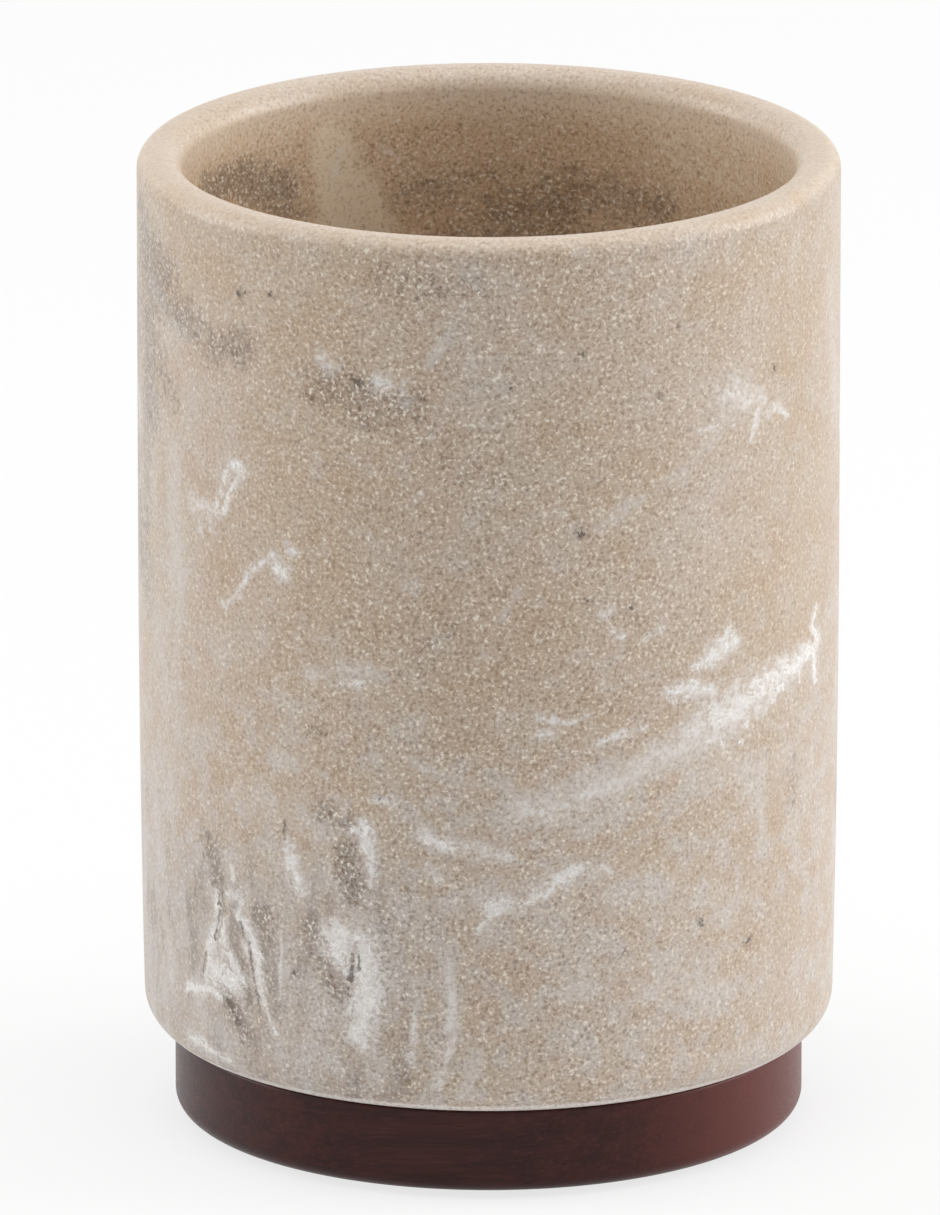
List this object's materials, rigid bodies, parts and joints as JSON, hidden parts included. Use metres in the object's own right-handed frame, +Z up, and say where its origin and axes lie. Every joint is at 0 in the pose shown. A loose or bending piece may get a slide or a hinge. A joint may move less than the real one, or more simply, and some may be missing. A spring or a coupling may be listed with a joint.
{
  "type": "bathroom tumbler",
  "caption": "Round bathroom tumbler: a thick-walled cast cup with a rounded rim and a gently drawn-in foot, bonded to a narrower turned wooden base with a soft foot.",
  "frame": {"origin": "centre of the resting face, the underside of the foam foot", "axes": "+Z up along the axis of the cup; the cup is round, and -Y is the side that faces the viewer"},
  "size_m": [0.075, 0.075, 0.1065],
  "materials": {
    "cast_resin": "satin",
    "stained_wood": "satin",
    "adhesive": "gloss",
    "foam": "matte"
  },
  "bodies": {
    "root": {"resin_cup": "cast_resin", "bonding_film": "adhesive", "wooden_base": "stained_wood", "foam_foot": "foam"}
  },
  "joints": []
}
